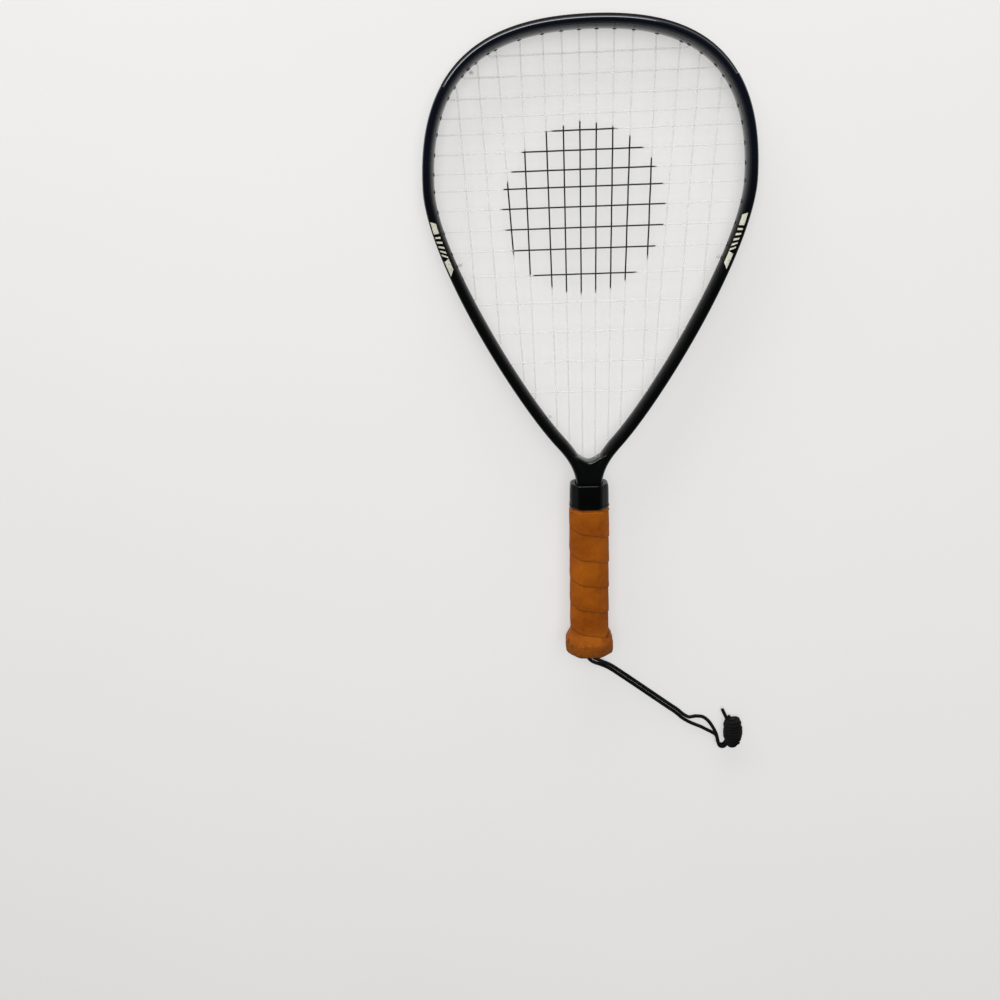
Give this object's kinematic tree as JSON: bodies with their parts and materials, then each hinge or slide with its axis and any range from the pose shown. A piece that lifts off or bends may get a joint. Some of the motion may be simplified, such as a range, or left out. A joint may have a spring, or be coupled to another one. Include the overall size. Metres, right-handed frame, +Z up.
{
  "type": "racquetball racket",
  "caption": "Racquetball racket with a teardrop tube frame, guarded crown, strung bed, leather-wrapped grip, rubber collar and doubled wrist cord",
  "frame": {"origin": "on the supporting surface, under the middle of the racket's box without its wrist cord", "axes": "+Y runs along the racket from the butt to the crown, +Z points up out of the front of the strings, +X is to the right across the face"},
  "size_m": [0.2799, 0.646, 0.0387],
  "materials": {
    "frame_finish": "glossy dark navy lacquer at the crown, satin black on the legs, with cream and gold stripes",
    "black_nylon": "moulded black nylon, slightly scuffed",
    "string": "translucent white monofilament",
    "core_foam": "moulded grey foam",
    "tan_leather": "orange-brown leather wrap with dark seams, polished by use",
    "black_tape": "thin black cloth tape",
    "black_rubber": "smooth, slightly glossy black rubber",
    "black_cord": "braided black nylon cord"
  },
  "bodies": {
    "root": {"frame_tube": "frame_finish", "head_guard": "black_nylon", "grommet_strip_right": "black_nylon", "grommet_strip_left": "black_nylon", "main_string": "string", "cross_string": "string", "main_knot_right": "string", "main_knot_left": "string", "cross_knot_top": "string", "cross_knot_foot": "string", "handle_core": "core_foam", "butt_cap": "black_nylon", "grip_leather": "tan_leather", "finishing_tape": "black_tape", "grip_collar": "black_rubber", "cord_stop_knot": "black_cord", "wrist_cord_upper": "black_cord", "wrist_cord_lower": "black_cord", "wrist_cord_knot": "black_cord", "wrist_cord_tail": "black_cord"}
  },
  "joints": []
}
